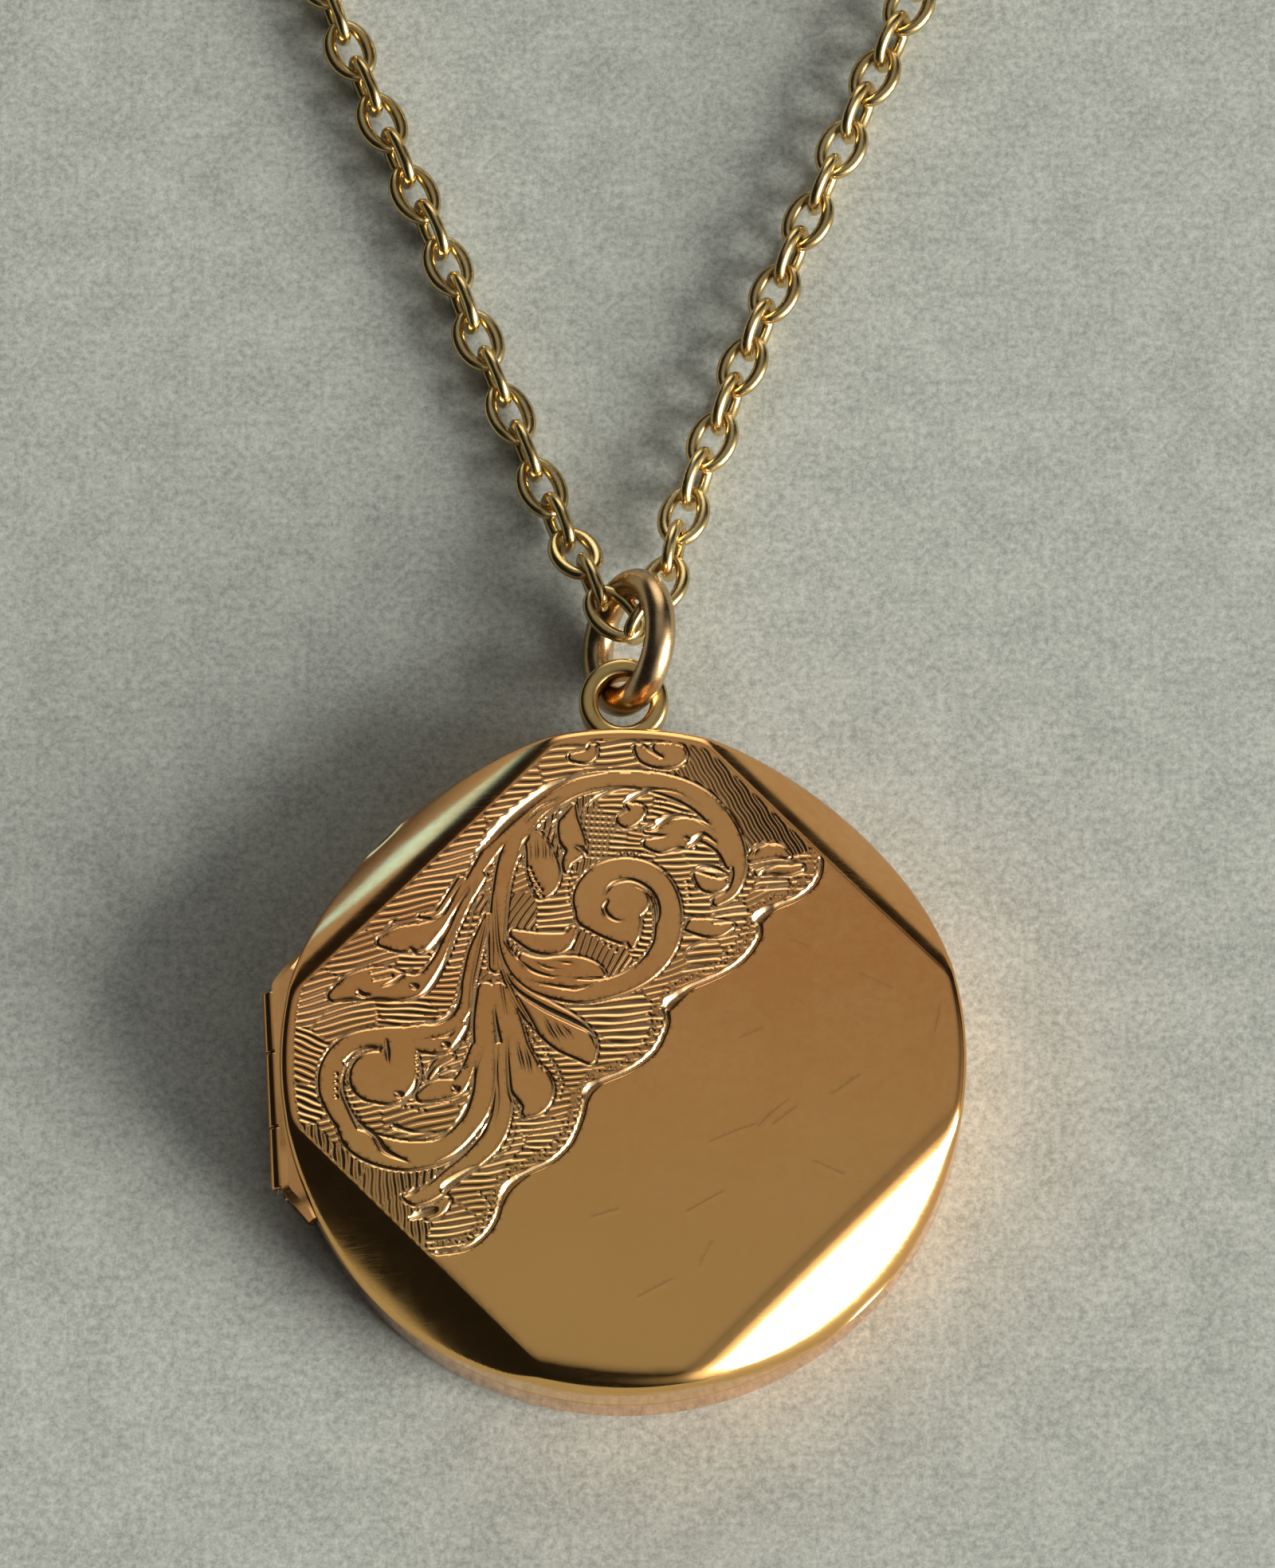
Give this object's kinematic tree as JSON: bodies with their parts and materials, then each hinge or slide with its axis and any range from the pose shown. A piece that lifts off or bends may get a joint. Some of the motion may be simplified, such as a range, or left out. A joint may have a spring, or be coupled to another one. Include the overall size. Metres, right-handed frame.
{
  "type": "locket",
  "caption": "Round hinged locket with a bevelled, half-engraved front, a hanging loop, a bail ring and a fine cable chain that closes with a bolt ring clasp.",
  "frame": {"origin": "centre of the flat back of the case, which lies on the floor plane", "axes": "+Z out of the front of the locket, +Y towards the hanging loop and the chain, +X towards the opening side, away from the hinge"},
  "size_m": [0.0319, 0.0937, 0.0053],
  "materials": {
    "case_gold": "polished, worn rose gold",
    "bail_gold": "polished, worn",
    "chain_gold": "polished yellow gold",
    "gilt_metal": "satin gilt",
    "card": "plain unprinted card",
    "crystal": "clear, slightly yellowed"
  },
  "bodies": {
    "back_case": {"back_cover": "case_gold", "back_liner": "gilt_metal", "back_bezel": "gilt_metal", "back_card": "card", "back_crystal": "crystal", "back_keeper_ring": "gilt_metal", "hinge_knuckle_upper": "case_gold", "hinge_knuckle_lower": "case_gold", "hinge_pin": "gilt_metal", "hinge_bearer_back": "case_gold", "hanging_loop": "case_gold"},
    "front_case": {"front_cover": "case_gold", "front_liner": "gilt_metal", "front_bezel": "gilt_metal", "front_card": "card", "front_crystal": "crystal", "front_keeper_ring": "gilt_metal", "hinge_knuckle_middle": "case_gold", "hinge_bearer_front": "case_gold"},
    "bail": {"bail_ring": "bail_gold", "chain_left_run": "chain_gold", "chain_waist": "chain_gold", "chain_right_run": "chain_gold", "chain_coil": "chain_gold", "chain_clasp_left_run": "chain_gold", "chain_clasp_right_run": "chain_gold", "clasp_body": "chain_gold", "clasp_eye": "chain_gold", "clasp_jump_ring": "chain_gold", "clasp_tag_ring": "chain_gold"},
    "clasp_bolt": {"clasp_bolt": "chain_gold"}
  },
  "joints": [
    {"name": "lid_hinge", "type": "hinge", "parent": "back_case", "child": "front_case", "pos_m": [-0.01369, -0.00084, 0.0026], "axis": [0.0611, -0.9981, 0], "range_deg": [0, 170]},
    {"name": "bail_swing", "type": "hinge", "parent": "back_case", "child": "bail", "pos_m": [0, 0.0152, 0.0026], "axis": [0, 0, 1], "range_deg": [-35, 35]},
    {"name": "clasp_trigger", "type": "hinge", "parent": "bail", "child": "clasp_bolt", "pos_m": [0, 0.0684, 0.00083], "axis": [-0.1219, 0, 0.9925], "range_deg": [0, 40], "stiffness_Nm_per_rad": 0.000001}
  ]
}
